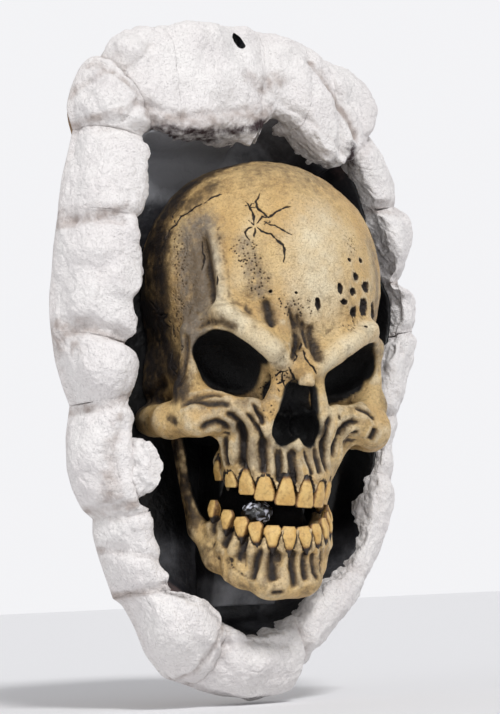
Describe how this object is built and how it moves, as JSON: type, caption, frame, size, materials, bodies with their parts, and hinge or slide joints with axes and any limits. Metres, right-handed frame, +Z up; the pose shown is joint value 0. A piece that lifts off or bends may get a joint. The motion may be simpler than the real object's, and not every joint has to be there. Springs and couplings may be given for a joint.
{
  "type": "halloween skull wall decoration",
  "caption": "Wall-hanging halloween decoration: a cracked skull with open jaw bursting out of a black recess inside an oval ring of broken white plaster, hung by a hole at the top.",
  "frame": {"origin": "axis of the hanging hole where it meets the wall, on the back plane of the rear panel", "axes": "+Z up along the long side of the oval, -Y out of the wall towards the room, so +Y points into the wall, +X to the right of somebody who faces the decoration"},
  "size_m": [0.2567, 0.1066, 0.4132],
  "materials": {
    "rubble_white": "matte",
    "recess_black": "gloss",
    "bone_ochre": "satin",
    "tooth_ochre": "satin",
    "foam_core": "matte",
    "back_panel": "matte"
  },
  "bodies": {
    "root": {"rear_panel": "back_panel", "recess_liner": "recess_black", "neck_stump": "recess_black", "plaster_corner_top_left": "rubble_white", "plaster_wedge_top": "rubble_white", "plaster_hanging_slab": "rubble_white", "plaster_rough_top": "rubble_white", "plaster_tilted_slab": "rubble_white", "plaster_round_top_right": "rubble_white", "plaster_shoulder_right": "rubble_white", "plaster_block_right": "rubble_white", "plaster_knuckle_right": "rubble_white", "plaster_flank_right": "rubble_white", "plaster_sliver_right": "rubble_white", "plaster_spine_right": "rubble_white", "plaster_slope_bottom_right": "rubble_white", "plaster_foot_bottom": "rubble_white", "plaster_heel_bottom_left": "rubble_white", "plaster_facet_left": "rubble_white", "plaster_pillow_left": "rubble_white", "plaster_knob_left": "rubble_white", "plaster_wedge_left": "rubble_white", "plaster_cheek_left": "rubble_white", "plaster_shoulder_left": "rubble_white", "skull_shell": "bone_ochre", "skull_foam_core": "foam_core", "upper_tooth_left_1": "tooth_ochre", "upper_tooth_left_2": "tooth_ochre", "upper_tooth_left_3": "tooth_ochre", "upper_tooth_left_4": "tooth_ochre", "upper_tooth_left_5": "tooth_ochre", "upper_tooth_right_1": "tooth_ochre", "upper_tooth_right_2": "tooth_ochre", "upper_tooth_right_3": "tooth_ochre", "upper_tooth_right_4": "tooth_ochre", "upper_tooth_right_5": "tooth_ochre", "lower_jaw": "bone_ochre", "lower_tooth_left_1": "tooth_ochre", "lower_tooth_left_2": "tooth_ochre", "lower_tooth_left_3": "tooth_ochre", "lower_tooth_left_4": "tooth_ochre", "lower_tooth_left_5": "tooth_ochre", "lower_tooth_left_6": "tooth_ochre", "lower_tooth_right_1": "tooth_ochre", "lower_tooth_right_2": "tooth_ochre", "lower_tooth_right_3": "tooth_ochre", "lower_tooth_right_4": "tooth_ochre", "lower_tooth_right_5": "tooth_ochre", "lower_tooth_right_6": "tooth_ochre"}
  },
  "joints": []
}
